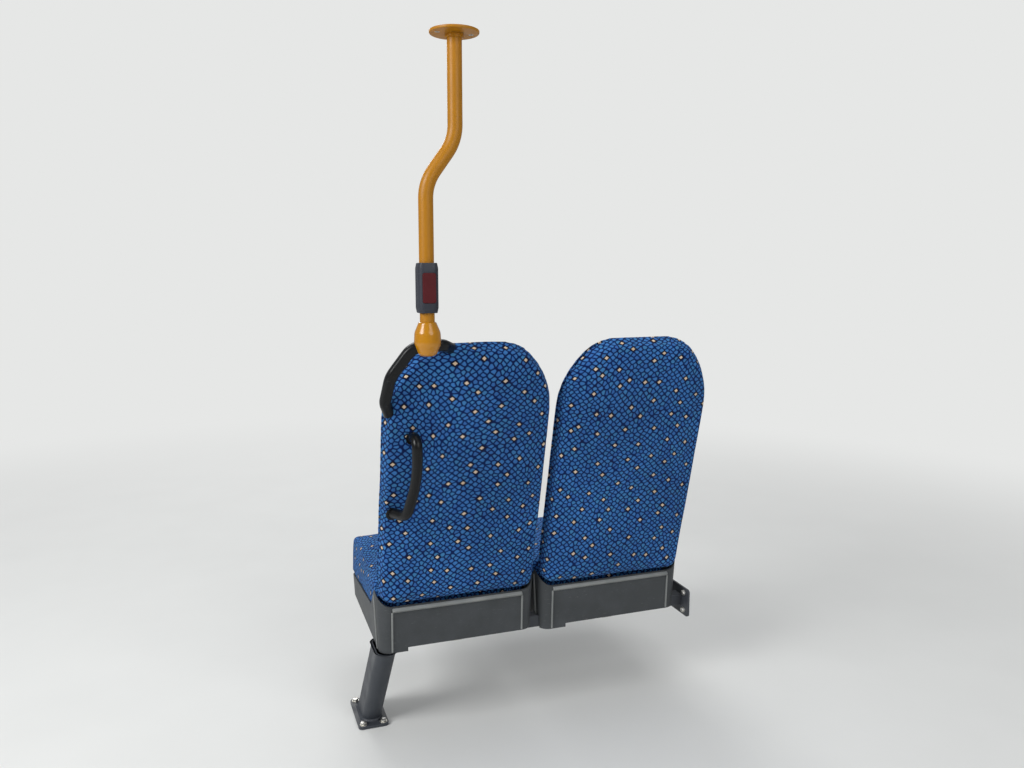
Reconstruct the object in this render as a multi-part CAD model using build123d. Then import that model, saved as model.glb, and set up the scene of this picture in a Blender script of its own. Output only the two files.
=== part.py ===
from build123d import *

import os
from math import atan2, cos, degrees, radians, sin

# Double passenger seat of a city bus: two high upholstered backs, two cushions in moulded trays,
# a pedestal frame, two grab handles and the grab pole that rises from the aisle seat.
# Millimetres. +X runs from the aisle to the side wall, +Y faces forward, +Z is up.
# The origin is the centre of the floor plate's four holes, on the floor.

# How far a cutting solid runs past what it cuts
CUT_REACH = 20.0

# Seat places
SEAT_PITCH = 458.0
AISLE_SEAT_X = 222.0
SEATS = {"aisle": AISLE_SEAT_X, "window": AISLE_SEAT_X + SEAT_PITCH}

# Back rest: outline in the plane of its rear face
BACK_REAR_Y = -175.0
BACK_BOTTOM_Z = 380.0
RECLINE = radians(14.5)
BACK_WIDTH = 450.0
BACK_HEIGHT = 730.0
BACK_BOTTOM_R = 46.0
SHOULDER_DROP = 122.0
SHOULDER_RUN = 90.0
SHOULDER_R = 225.0
CROWN_RISE = 7.0
CROWN_R = 116.0
TOP_R = 1100.0
COVER_DEPTH = 40.0
COVER_INSET = 10.0
COVER_EDGE_R = 9.0
PAD_DEPTH = 30.0
PAD_EDGE_INSET = 17.0
PAD_EDGE_DEPTH = 14.0
PAD_HOLLOW_WIDTH = 300.0
PAD_HOLLOW_DEPTH = 12.0
SEAM_GAP = 0.3

# Seat cushion: side profile, then width
CUSHION_WIDTH = 440.0
CUSHION_REAR_Y = -103.0
CUSHION_FRONT_Y = 305.0
CUSHION_TOP_FRONT_Z = 450.0
CUSHION_TOP_REAR_Z = 436.0
CUSHION_UNDERCUT = 14.0
CUSHION_NOSE_DROP = 60.0
CUSHION_NOSE_LEAN = 8.0
CUSHION_CROWN_LENGTH = 150.0
CUSHION_CROWN_RISE = 3.0
CUSHION_SIDE_R = 14.0
CUSHION_CLEARANCE = 0.4
BASE_BOARD = {"wide": 392.0, "long": 340.0, "thick": 9.0, "corner": 30.0, "middle_y": 94.0}

# Tray under each cushion: a drafted tub with a rear skirt
TRAY_WIDTH = 448.0
TRAY_REAR_Y = -173.0
TRAY_FRONT_Y = 280.0
TRAY_BOTTOM_Z = 250.0
TRAY_HORN_Z = 433.0
TRAY_DRAFT = 9.0
TRAY_WALL = 4.0
TRAY_REAR_R = 34.0
TRAY_FRONT_R = 26.0
PAN_Z = 290.0
PAN_THICK = 4.0
SKIRT_STEP_Z = 261.0
SKIRT_BLOCK_WIDTH = 84.0
NOTCH_Y = -58.0
NOTCH_Z = 352.0
SIDE_FRONT_Z = 326.0
SIDE_FRONT_BOTTOM_Z = 262.0
TRAY_TOP_EDGE = [
    # y, z, corner radius, seen from the side
    (TRAY_REAR_Y - CUT_REACH, TRAY_HORN_Z, 0.0),
    (TRAY_REAR_Y + 30.0, TRAY_HORN_Z, 10.0),
    (NOTCH_Y, NOTCH_Z, 16.0),
    (TRAY_FRONT_Y - 20.0, SIDE_FRONT_Z, 30.0),
    (TRAY_FRONT_Y + CUT_REACH, SIDE_FRONT_Z - 4.0, 0.0),
]
SIDE_LEVEL_LENGTH = 60.0
CORNER_GROOVES = 3
CORNER_GROOVE_R = 2.2
CORNER_GROOVE_DEPTH = 1.8
CORNER_GROOVE_TOP_Z = 363.0
CORNER_GROOVE_START = 22.0
CORNER_GROOVE_STEP = 23.0
BEAM_NOTCH_GAP = 2.0

# Frame
BEAM_SIZE = 35.0
BEAM_WALL = 2.5
BEAM_CORNER_R = 4.0
BEAM_BORE_CORNER_R = 1.5
CAP_HEAD = 2.5
CAP_PLUG = 14.0
BEAM_Z = 252.0
BEAM_START_X = 16.0
WALL_X = 930.0
BEAM_YS = {"rear": -125.0, "front": 140.0}
BRACKET_THICK = 6.0
BRACKET_LENGTH = 380.0
BRACKET_HEIGHT = 84.0
BRACKET_CENTRE_Y = 8.0
BRACKET_HOLE_SPACING_Y = 330.0
BRACKET_HOLE_SPACING_Z = 54.0
BRACKET_HOLE_R = 4.5
BRACKET_CORNER_R = 10.0
ARM_WIDTH = 38.0
ARM_THICK = 6.0
ARM_CORNER_R = 8.0
ARM_SHIFT_X = 6.0
ARM_FRONT_REACH = 8.0
WEB_THICK = 6.0
WEB_DROP = 68.0
WEB_TIP_DROP = 12.0
WEB_SETBACK = 14.0
CLAMP_WIDTH = 30.0
CLAMP_THICK = 2.0
CLAMP_EAR = 16.0

# Pedestal leg: leans forward and out towards the aisle as it goes down
PLATE_THICK = 8.0
PLATE_LENGTH = 166.0
PLATE_WIDTH = 84.0
PLATE_CORNER_R = 12.0
PLATE_HOLE_SPACING_X = 56.0
PLATE_HOLE_SPACING_Y = 138.0
PLATE_HOLE_R = 5.5
LEG_TOP_X = 27.0
LEG_TOP_Y = -104.0
LEG_LONG = 116.0
LEG_WIDE = 54.0
LEG_WALL = 3.0

# Top grab handle: route in the aisle back's own plane (across, up the slope, to the rear)
HANDLE_WIDE = 27.0
HANDLE_DEEP = 24.0
HANDLE_CORNER_R = 9.0
HANDLE_LEVEL = {"across": -118.0, "up": BACK_HEIGHT + 9.0, "rear": 18.0}
HANDLE_INNER_ROUTE = [
    # across, up, rear
    (-90.0, BACK_HEIGHT + 9.0, 18.0),
    (-62.0, BACK_HEIGHT - 13.0, -20.0),
]
HANDLE_INNER_RADII = [24.0]
HANDLE_OUTER_ROUTE = [
    # across, up, rear
    (-161.0, BACK_HEIGHT + 9.0, 18.0),
    (-212.0, BACK_HEIGHT - 68.0, 15.0),
    (-220.0, BACK_HEIGHT - 138.0, 0.0),
    (-205.0, BACK_HEIGHT - 176.0, -20.0),
]
HANDLE_OUTER_RADII = [50.0, 62.0, 26.0]

# Rear grab handle of the aisle seat, in the same plane; its lower end swings out to the aisle
REAR_HANDLE_R = 13.0
REAR_HANDLE_ROUTE = [
    # across, up, rear
    (-150.0, BACK_HEIGHT - 236.0, -6.0),
    (-150.0, BACK_HEIGHT - 212.0, 47.0),
    (-146.0, BACK_HEIGHT - 318.0, 57.0),
    (-167.0, BACK_HEIGHT - 426.0, 47.0),
    (-193.0, BACK_HEIGHT - 442.0, -6.0),
]
REAR_HANDLE_RADII = [22.0, 380.0, 30.0]
REAR_HANDLE_FOOT_R = 16.0
REAR_HANDLE_FOOT_THICK = 3.0

# Grab pole
POLE_X = 92.0
POLE_Y = -386.0
POLE_R = 17.0
POLE_WALL = 2.5
POLE_JOG_X = 70.0
JOG_BOTTOM_Z = 1457.0
JOG_TOP_Z = 1554.0
JOG_R = 105.0
CEILING_Z = 1788.0
EGG_TOP_Z = 1146.0
EGG_PROFILE = [
    # distance from the pole's axis, z, corner radius
    (0.0, 1067.0, 0.0),
    (19.0, 1067.0, 14.0),
    (31.5, 1096.0, 36.0),
    (30.0, 1122.0, 28.0),
    (20.0, EGG_TOP_Z, 4.0),
    (0.0, EGG_TOP_Z, 0.0),
]
POLE_BOTTOM_Z = 1114.0
HOUSING_BOTTOM_Z = 1167.0
HOUSING_HEIGHT = 113.0
HOUSING_WIDE = 47.0
HOUSING_DEEP = 50.0
HOUSING_CORNER_R = 13.0
HOUSING_TAPER = 5.0
HOUSING_TAPER_HEIGHT = 12.0
PAD_RECESS = 2.0
PAD_RECESS_GAP = 0.4
BUTTON_WIDE = 31.0
BUTTON_HIGH = 68.0
BUTTON_CORNER_R = 5.0
BUTTON_PROUD = 1.6
BUTTON_CHAMFER = 1.0
FLANGE_R = 56.0
FLANGE_THICK = 6.0
FLANGE_CHAMFER = 1.5
FLANGE_COLLAR_R = 21.0
FLANGE_COLLAR_HEIGHT = 9.0
FLANGE_HOLE_SPACING = 78.0
FLANGE_HOLE_R = 3.25
FLANGE_SINK_R = 7.0
FLANGE_SINK_DEPTH = 3.4


def back_plane(centre_x):
    """Rear face of a back rest: x across, y up the slope, z out to the rear."""
    return Plane(
        origin=(centre_x, BACK_REAR_Y, BACK_BOTTOM_Z),
        x_dir=(1, 0, 0),
        z_dir=(0, -cos(RECLINE), -sin(RECLINE)),
    )


def back_outline(inset=0.0, rear=0.0, bottom=0.0):
    """High back with wide round shoulders, drawn inset from the widest outline."""
    half = BACK_WIDTH / 2 - inset
    top = BACK_HEIGHT - inset
    crown = top - CROWN_RISE
    corners = [
        (-half, bottom, BACK_BOTTOM_R),
        (half, bottom, BACK_BOTTOM_R),
        (half, top - SHOULDER_DROP, SHOULDER_R),
        (half - SHOULDER_RUN, crown, CROWN_R),
        (0, top, TOP_R),
        (SHOULDER_RUN - half, crown, CROWN_R),
        (-half, top - SHOULDER_DROP, SHOULDER_R),
    ]
    points = [(x, y, rear) for x, y, radius in corners]
    radii = [radius for x, y, radius in corners]
    return FilletPolyline(points, radius=radii, close=True)


def back_cover(centre_x):
    """Upholstered rear shell, narrower at the rear face so that its side band shows from behind."""
    front_face = make_face(back_outline(0.0, -COVER_DEPTH, -COVER_INSET))
    cover = extrude(front_face, COVER_DEPTH, taper=degrees(atan2(COVER_INSET, COVER_DEPTH)))
    cover = fillet(cover.faces().sort_by(Axis.Z)[-1].edges(), COVER_EDGE_R)
    straight = extrude(make_face(back_outline()), -COVER_DEPTH)
    return back_plane(centre_x) * (cover & straight)


def back_pad(centre_x):
    """Front cushion of the back, hollowed along its middle so that bolsters stand at the sides."""
    rear = -COVER_DEPTH - SEAM_GAP
    front = -COVER_DEPTH - PAD_DEPTH
    levels = [
        # inset, place from the rear
        (0.0, rear),
        (PAD_EDGE_INSET / 4, front + PAD_EDGE_DEPTH),
        (PAD_EDGE_INSET, front),
    ]
    blank = loft([make_face(back_outline(inset, level)) for inset, level in levels], ruled=True)
    half = PAD_HOLLOW_WIDTH / 2
    arc = ThreePointArc((-half, 0), (0, PAD_HOLLOW_DEPTH), (half, 0))
    below = Polyline((half, 0), (half, -CUT_REACH), (-half, -CUT_REACH), (-half, 0))
    hollow = make_face(Curve() + [arc, below])
    groove_plane = Plane(origin=(0, -CUT_REACH, front), x_dir=(1, 0, 0), z_dir=(0, -1, 0))
    groove = extrude(groove_plane * hollow, -BACK_HEIGHT - 2 * CUT_REACH)
    return back_plane(centre_x) * (blank - groove)


def cushion(centre_x):
    """Seat cushion with a waterfall front, its lower part seated inside the tray's walls."""
    base_z = PAN_Z + PAN_THICK + BASE_BOARD["thick"]
    profile = [
        # y, z, corner radius
        (CUSHION_REAR_Y, base_z, 6.0),
        (CUSHION_FRONT_Y - CUSHION_UNDERCUT, base_z, 16.0),
        (CUSHION_FRONT_Y, CUSHION_TOP_FRONT_Z - CUSHION_NOSE_DROP, 80.0),
        (CUSHION_FRONT_Y - CUSHION_NOSE_LEAN, CUSHION_TOP_FRONT_Z, 50.0),
        (CUSHION_FRONT_Y - CUSHION_CROWN_LENGTH, CUSHION_TOP_FRONT_Z + CUSHION_CROWN_RISE, 400.0),
        (CUSHION_REAR_Y, CUSHION_TOP_REAR_Z, 12.0),
    ]
    points = [(y, z) for y, z, radius in profile]
    radii = [radius for y, z, radius in profile]
    side_plane = Plane(origin=(centre_x - CUSHION_WIDTH / 2, 0, 0), x_dir=(0, 1, 0), z_dir=(1, 0, 0))
    side = side_plane * make_face(FilletPolyline(points, radius=radii, close=True))
    blank = extrude(side, CUSHION_WIDTH)
    ends = blank.faces().sort_by(Axis.X)
    blank = fillet(ends[0].edges() + ends[-1].edges(), CUSHION_SIDE_R)
    above, below = tray_side_cut()
    seat_space = tub(TRAY_WALL + CUSHION_CLEARANCE) + above
    return blank & (Pos(centre_x, 0, CUSHION_CLEARANCE) * seat_space)


def base_board(centre_x):
    """Board under the cushion, resting on the tray's pan."""
    plan = RectangleRounded(BASE_BOARD["wide"], BASE_BOARD["long"], BASE_BOARD["corner"])
    board = extrude(plan, BASE_BOARD["thick"])
    return Pos(centre_x, BASE_BOARD["middle_y"], PAN_Z + PAN_THICK) * board


def tray_plan(inset, z):
    """Plan outline of a tray: larger corner radii at the rear than at the front."""
    half = TRAY_WIDTH / 2 - inset
    rear = TRAY_REAR_Y + inset
    front = TRAY_FRONT_Y - inset
    points = [(-half, rear, z), (half, rear, z), (half, front, z), (-half, front, z)]
    rear_r = TRAY_REAR_R - min(inset, TRAY_WALL)
    front_r = TRAY_FRONT_R - min(inset, TRAY_WALL)
    return make_face(FilletPolyline(points, radius=[rear_r, rear_r, front_r, front_r], close=True))


def tub(inset):
    """Drafted solid of a tray's plan, narrower towards the floor."""
    low = tray_plan(TRAY_DRAFT + inset, TRAY_BOTTOM_Z)
    high = tray_plan(inset, TRAY_HORN_Z + CUT_REACH / 2)
    return loft([low, high])


def tray_side_cut():
    """Everything above the V-notched top edge and below the bottom edge, seen from the side."""
    far = 500.0
    front_y = TRAY_FRONT_Y + CUT_REACH
    level_end_y = TRAY_REAR_Y + SIDE_LEVEL_LENGTH
    above = [(y, z) for y, z, radius in TRAY_TOP_EDGE]
    above += [(front_y, far), (TRAY_REAR_Y - CUT_REACH, far)]
    below = [
        (level_end_y, TRAY_BOTTOM_Z),
        (front_y, SIDE_FRONT_BOTTOM_Z),
        (front_y, TRAY_BOTTOM_Z - CUT_REACH),
        (level_end_y, TRAY_BOTTOM_Z - CUT_REACH),
    ]
    side_plane = Plane(origin=(-far, 0, 0), x_dir=(0, 1, 0), z_dir=(1, 0, 0))
    top_radii = [radius for y, z, radius in TRAY_TOP_EDGE] + [0, 0]
    above_face = make_face(FilletPolyline(above, radius=top_radii, close=True))
    below_face = make_face(Polyline(below, close=True))
    return [extrude(side_plane * face, 2 * far) for face in (above_face, below_face)]


def corner_grooves():
    """Vertical grooves that stand round both rear corners of a tray."""
    grooves = []
    middle_x = TRAY_WIDTH / 2 - TRAY_REAR_R
    middle_y = TRAY_REAR_Y + TRAY_REAR_R
    reach = TRAY_REAR_R + CORNER_GROOVE_R - CORNER_GROOVE_DEPTH
    foot_z = TRAY_BOTTOM_Z - CUT_REACH
    for side in (-1, 1):
        for number in range(CORNER_GROOVES):
            turn = radians(CORNER_GROOVE_START + CORNER_GROOVE_STEP * number)
            foot = Pos(side * (middle_x + reach * cos(turn)), middle_y - reach * sin(turn), foot_z)
            grooves.append(foot * extrude(Circle(CORNER_GROOVE_R), CORNER_GROOVE_TOP_Z - foot_z))
    return grooves


def tray(centre_x):
    """Moulded rim of a tray: drafted walls with the rear skirt, the V notch and the beam notches."""
    shell = tub(0.0) - tub(TRAY_WALL)
    for cut in tray_side_cut():
        shell -= cut
    corner = (Align.MIN, Align.MIN, Align.MIN)
    step_x = SKIRT_BLOCK_WIDTH - TRAY_WIDTH / 2
    step = Box(TRAY_WIDTH - SKIRT_BLOCK_WIDTH, 6 * CUT_REACH, SKIRT_STEP_Z - TRAY_BOTTOM_Z, align=corner)
    shell -= Pos(step_x, TRAY_REAR_Y - CUT_REACH, TRAY_BOTTOM_Z) * step
    notch_deep = PAN_Z - TRAY_BOTTOM_Z + CUT_REACH
    start_x = BEAM_START_X - 2 * BEAM_NOTCH_GAP - centre_x
    for beam_y in BEAM_YS.values():
        placed = (Align.MIN, Align.CENTER, Align.MIN)
        notch = Box(WALL_X, BEAM_SIZE + 2 * BEAM_NOTCH_GAP, notch_deep, align=placed)
        shell -= Pos(start_x, beam_y, PAN_Z - notch_deep) * notch
    for groove in corner_grooves():
        shell -= groove
    return Pos(centre_x, 0, 0) * shell - back_room(centre_x)


def tray_pan(centre_x):
    """Floor of a tray, which carries the base board and rests on the beams' clamps."""
    middle_y = (TRAY_REAR_Y + TRAY_FRONT_Y) / 2
    slab = Box(2 * TRAY_WIDTH, 2 * TRAY_WIDTH, PAN_THICK, align=(Align.CENTER, Align.CENTER, Align.MIN))
    return Pos(centre_x, 0, 0) * (tub(TRAY_WALL) & (Pos(0, middle_y, PAN_Z) * slab))


def back_room(centre_x):
    """Space of the back rest with a little clearance, cut out of the tray's top edge."""
    clearance = 1.0
    outline = make_face(back_outline(-clearance, CUT_REACH, -clearance))
    blank = extrude(outline, -COVER_DEPTH - PAD_DEPTH - 4 * CUT_REACH)
    return back_plane(centre_x) * blank


def square_tube(length):
    """Square tube along +X with rounded corners."""
    outer = RectangleRounded(BEAM_SIZE, BEAM_SIZE, BEAM_CORNER_R)
    inner = RectangleRounded(BEAM_SIZE - 2 * BEAM_WALL, BEAM_SIZE - 2 * BEAM_WALL, BEAM_BORE_CORNER_R)
    return extrude(Plane.YZ * (outer - inner), length)


def beam(beam_y):
    """Cross beam from inside the aisle tray to the wall bracket."""
    length = WALL_X - BEAM_START_X
    return Pos(BEAM_START_X, beam_y, BEAM_Z + BEAM_SIZE / 2) * square_tube(length)


def beam_cap(beam_y):
    """Plastic cap pushed into the aisle end of a beam."""
    plug_side = BEAM_SIZE - 2 * BEAM_WALL
    head = extrude(Plane.YZ * RectangleRounded(BEAM_SIZE, BEAM_SIZE, BEAM_CORNER_R), -CAP_HEAD)
    plug = extrude(Plane.YZ * RectangleRounded(plug_side, plug_side, BEAM_BORE_CORNER_R), CAP_PLUG)
    return Pos(BEAM_START_X, beam_y, BEAM_Z + BEAM_SIZE / 2) * (head + plug)


def beam_clamp(centre_x, beam_y):
    """Hat-shaped strap round a beam with two ears against the tray's pan."""
    strap_top = PAN_Z
    ear_z = strap_top - CLAMP_THICK
    under_z = BEAM_Z - CLAMP_THICK
    half = BEAM_SIZE / 2
    ear = CLAMP_EAR
    outline = [
        (-half - ear, ear_z),
        (-half - CLAMP_THICK, ear_z),
        (-half - CLAMP_THICK, under_z),
        (half + CLAMP_THICK, under_z),
        (half + CLAMP_THICK, ear_z),
        (half + ear, ear_z),
        (half + ear, strap_top),
        (half, strap_top),
        (half, BEAM_Z),
        (-half, BEAM_Z),
        (-half, strap_top),
        (-half - ear, strap_top),
    ]
    side_plane = Plane(origin=(centre_x - CLAMP_WIDTH / 2, beam_y, 0), x_dir=(0, 1, 0), z_dir=(1, 0, 0))
    return extrude(side_plane * make_face(Polyline(outline, close=True)), CLAMP_WIDTH)


def wall_bracket():
    """Pressed plate on the side wall that the beams butt against."""
    plate = RectangleRounded(BRACKET_LENGTH, BRACKET_HEIGHT, BRACKET_CORNER_R)
    holes = [
        Pos(y, z) * Circle(BRACKET_HOLE_R)
        for y in (-BRACKET_HOLE_SPACING_Y / 2, BRACKET_HOLE_SPACING_Y / 2)
        for z in (-BRACKET_HOLE_SPACING_Z / 2, BRACKET_HOLE_SPACING_Z / 2)
    ]
    for hole in holes:
        plate -= hole
    centre = (WALL_X, BRACKET_CENTRE_Y, BEAM_Z + BEAM_SIZE / 2)
    return extrude(Plane(origin=centre, x_dir=(0, 1, 0), z_dir=(1, 0, 0)) * plate, BRACKET_THICK)


def leaning_oval(inset):
    """Solid oval from the floor plate up to the arm, leaning back and towards the seat."""
    oval = SlotOverall(LEG_LONG - 2 * inset, LEG_WIDE - 2 * inset, rotation=90)
    axis = Vector(LEG_TOP_X, LEG_TOP_Y, BEAM_Z - ARM_THICK - PLATE_THICK)
    return Pos(0, 0, PLATE_THICK) * extrude(oval, axis.length, dir=axis)


def pedestal_leg():
    """Oval tube from the tray's rear corner down to the floor plate."""
    return leaning_oval(0.0) - leaning_oval(LEG_WALL)


def pedestal_head():
    """Arm on top of the leg that carries both beams, with a gusset along its underside."""
    rear = BEAM_YS["rear"] - BEAM_SIZE / 2 - 1
    front = BEAM_YS["front"] + BEAM_SIZE / 2 + ARM_FRONT_REACH
    middle = (rear + front) / 2
    under_z = BEAM_Z - ARM_THICK
    plan = RectangleRounded(ARM_WIDTH, front - rear, ARM_CORNER_R)
    plate = Pos(LEG_TOP_X + ARM_SHIFT_X, middle, under_z) * extrude(plan, ARM_THICK)
    leg_front = LEG_TOP_Y + LEG_LONG / 2
    web_outline = [
        (leg_front - WEB_SETBACK, under_z),
        (leg_front + WEB_SETBACK, under_z - WEB_DROP),
        (front - WEB_SETBACK, under_z - WEB_TIP_DROP),
        (front - WEB_SETBACK, under_z),
    ]
    web_x = LEG_TOP_X + ARM_SHIFT_X - WEB_THICK / 2
    web_plane = Plane(origin=(web_x, 0, 0), x_dir=(0, 1, 0), z_dir=(1, 0, 0))
    web = extrude(web_plane * make_face(Polyline(web_outline, close=True)), WEB_THICK)
    return plate + (web - leaning_oval(0.0))


def floor_plate():
    """Foot plate with four bolt holes."""
    plate = RectangleRounded(PLATE_WIDTH, PLATE_LENGTH, PLATE_CORNER_R)
    for x in (-PLATE_HOLE_SPACING_X / 2, PLATE_HOLE_SPACING_X / 2):
        for y in (-PLATE_HOLE_SPACING_Y / 2, PLATE_HOLE_SPACING_Y / 2):
            plate -= Pos(x, y) * Circle(PLATE_HOLE_R)
    return extrude(plate, PLATE_THICK)


def tube_along(route, radii, section, origin_plane):
    """Solid of one section swept along straight runs joined by arcs."""
    path = FilletPolyline(route, radius=radii)
    start = path @ 0
    cross = Plane(origin=start, x_dir=section["across"], z_dir=path % 0)
    return origin_plane * sweep(cross * section["face"], path=path)


def top_handle():
    """Handle that rises from the top edge, rounds the aisle shoulder and ends in the side band."""
    plane = back_plane(AISLE_SEAT_X)
    section = {"face": handle_section(), "across": (0, 0, 1)}
    start = tuple(HANDLE_LEVEL.values())
    inner = tube_along([start] + HANDLE_INNER_ROUTE, HANDLE_INNER_RADII, section, plane)
    outer = tube_along([start] + HANDLE_OUTER_ROUTE, HANDLE_OUTER_RADII, section, plane)
    return inner + outer


def handle_section():
    """Flattened section whose broad side faces the rear."""
    return RectangleRounded(HANDLE_DEEP, HANDLE_WIDE, HANDLE_CORNER_R)


def rear_handle():
    """D-shaped handle with a slightly bowed bar and a round foot at each end."""
    section = {"face": Circle(REAR_HANDLE_R), "across": (1, 0, 0)}
    bar = tube_along(REAR_HANDLE_ROUTE, REAR_HANDLE_RADII, section, Plane.XY)
    for across, up, rear in (REAR_HANDLE_ROUTE[0], REAR_HANDLE_ROUTE[-1]):
        bar += Pos(across, up, 0) * extrude(Circle(REAR_HANDLE_FOOT_R), REAR_HANDLE_FOOT_THICK)
    return back_plane(AISLE_SEAT_X) * bar


def pole_path_section(radius):
    """Route of the pole's centre line, straight, jogged towards the wall, then straight."""
    route = [
        (POLE_X, POLE_Y, POLE_BOTTOM_Z),
        (POLE_X, POLE_Y, JOG_BOTTOM_Z),
        (POLE_X + POLE_JOG_X, POLE_Y, JOG_TOP_Z),
        (POLE_X + POLE_JOG_X, POLE_Y, CEILING_Z - FLANGE_THICK),
    ]
    section = {"face": Circle(radius), "across": (1, 0, 0)}
    return tube_along(route, [JOG_R, JOG_R], section, Plane.XY)


def pole_tube():
    """Jogged steel tube from the coupling up to the ceiling flange."""
    return pole_path_section(POLE_R) - pole_path_section(POLE_R - POLE_WALL)


def pole_coupling():
    """Egg-shaped clamp round the top handle, bored from above for the pole's lower end."""
    points = [(r, z) for r, z, radius in EGG_PROFILE]
    radii = [radius for r, z, radius in EGG_PROFILE]
    half = make_face(FilletPolyline(points, radius=radii, close=True))
    egg = revolve(Plane.XZ * half, Axis.Z)
    bore = Pos(0, 0, POLE_BOTTOM_Z) * extrude(Circle(POLE_R), EGG_TOP_Z - POLE_BOTTOM_Z)
    return Pos(POLE_X, POLE_Y, 0) * (egg - bore) - top_handle()


def ceiling_flange():
    """Round flange with a collar round the pole and two countersunk screw holes."""
    base = extrude(Circle(FLANGE_R), FLANGE_THICK)
    base = chamfer(base.faces().sort_by(Axis.Z)[0].edges(), FLANGE_CHAMFER)
    collar = Pos(0, 0, -FLANGE_COLLAR_HEIGHT) * extrude(
        Circle(FLANGE_COLLAR_R) - Circle(POLE_R), FLANGE_COLLAR_HEIGHT
    )
    flange = base + collar
    for side in (-1, 1):
        x = side * FLANGE_HOLE_SPACING / 2
        flange -= Pos(x, 0, 0) * extrude(Circle(FLANGE_HOLE_R), FLANGE_THICK)
        upright = (Align.CENTER, Align.CENTER, Align.MIN)
        sink = Cone(FLANGE_SINK_R, FLANGE_HOLE_R, FLANGE_SINK_DEPTH, align=upright)
        flange -= Pos(x, 0, 0) * sink
    return Pos(POLE_X + POLE_JOG_X, POLE_Y, CEILING_Z - FLANGE_THICK) * flange


def button_housing():
    """Sleeve round the pole, tapered at both ends, with a recess for the pad in its rear face."""
    wide = HOUSING_WIDE
    deep = HOUSING_DEEP
    levels = [
        # height, reduction
        (0.0, HOUSING_TAPER),
        (HOUSING_TAPER_HEIGHT, 0.0),
        (HOUSING_HEIGHT - HOUSING_TAPER_HEIGHT, 0.0),
        (HOUSING_HEIGHT, HOUSING_TAPER),
    ]
    sections = [
        Pos(0, 0, z) * RectangleRounded(wide - less, deep - less, HOUSING_CORNER_R - less / 2)
        for z, less in levels
    ]
    sleeve = loft(sections, ruled=True)
    bore = extrude(Circle(POLE_R), HOUSING_HEIGHT)
    recess = Pos(POLE_X, POLE_Y, 0) * button_space(PAD_RECESS_GAP)
    return Pos(POLE_X, POLE_Y, HOUSING_BOTTOM_Z) * (sleeve - bore) - recess


def button_space(clearance):
    """Block of the push button's pad, centred on the sleeve's rear face."""
    face = RectangleRounded(
        BUTTON_WIDE + 2 * clearance, BUTTON_HIGH + 2 * clearance, BUTTON_CORNER_R + clearance
    )
    middle_z = HOUSING_BOTTOM_Z + HOUSING_HEIGHT / 2
    plane = Plane(origin=(0, -HOUSING_DEEP / 2 + PAD_RECESS, middle_z), x_dir=(1, 0, 0), z_dir=(0, -1, 0))
    return plane * extrude(face, PAD_RECESS + BUTTON_PROUD)


def button_pad():
    """Raised rounded pad of the push button."""
    pad = button_space(0.0)
    pad = chamfer(pad.faces().sort_by(Axis.Y)[0].edges(), BUTTON_CHAMFER)
    return Pos(POLE_X, POLE_Y, 0) * pad


def housing_half(side):
    """Front (+1) or rear (-1) half of the sleeve, split through the pole's axis."""
    whole = button_housing()
    towards = Align.MIN if side > 0 else Align.MAX
    block = Box(2 * HOUSING_WIDE, HOUSING_DEEP, HOUSING_HEIGHT, align=(Align.CENTER, towards, Align.MIN))
    return whole & (Pos(POLE_X, POLE_Y, HOUSING_BOTTOM_Z) * block)


def build_nodes():
    """All nodes of the seat by name."""
    nodes = {
        "floor_plate": floor_plate(),
        "pedestal_leg": pedestal_leg(),
        "pedestal_head": pedestal_head(),
        "wall_bracket": wall_bracket(),
        "pole_tube": pole_tube(),
        "pole_coupling": pole_coupling(),
        "ceiling_flange": ceiling_flange(),
        "button_housing_front": housing_half(1),
        "button_housing_rear": housing_half(-1),
        "button_pad": button_pad(),
        "top_handle": top_handle(),
        "rear_handle": rear_handle(),
    }
    for place, beam_y in BEAM_YS.items():
        nodes[f"{place}_beam"] = beam(beam_y)
        nodes[f"{place}_beam_cap"] = beam_cap(beam_y)
    for seat, centre_x in SEATS.items():
        nodes[f"tray_{seat}"] = tray(centre_x)
        nodes[f"tray_pan_{seat}"] = tray_pan(centre_x)
        nodes[f"base_board_{seat}"] = base_board(centre_x)
        nodes[f"cushion_{seat}"] = cushion(centre_x)
        nodes[f"back_pad_{seat}"] = back_pad(centre_x)
        nodes[f"back_cover_{seat}"] = back_cover(centre_x)
        for place, beam_y in BEAM_YS.items():
            nodes[f"beam_clamp_{seat}_{place}"] = beam_clamp(centre_x, beam_y)
    seated_ends = nodes["top_handle"] + nodes["rear_handle"]
    nodes["back_cover_aisle"] = nodes["back_cover_aisle"] - seated_ends
    return nodes


os.makedirs("parts", exist_ok=True)
for node_name, node_shape in build_nodes().items():
    export_step(node_shape, f"parts/{node_name}.step")
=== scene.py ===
from math import acos, atan, cos, pi, radians, sin, sqrt, tanh

import bmesh
import bpy
from mathutils import Matrix, Vector, noise


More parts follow.
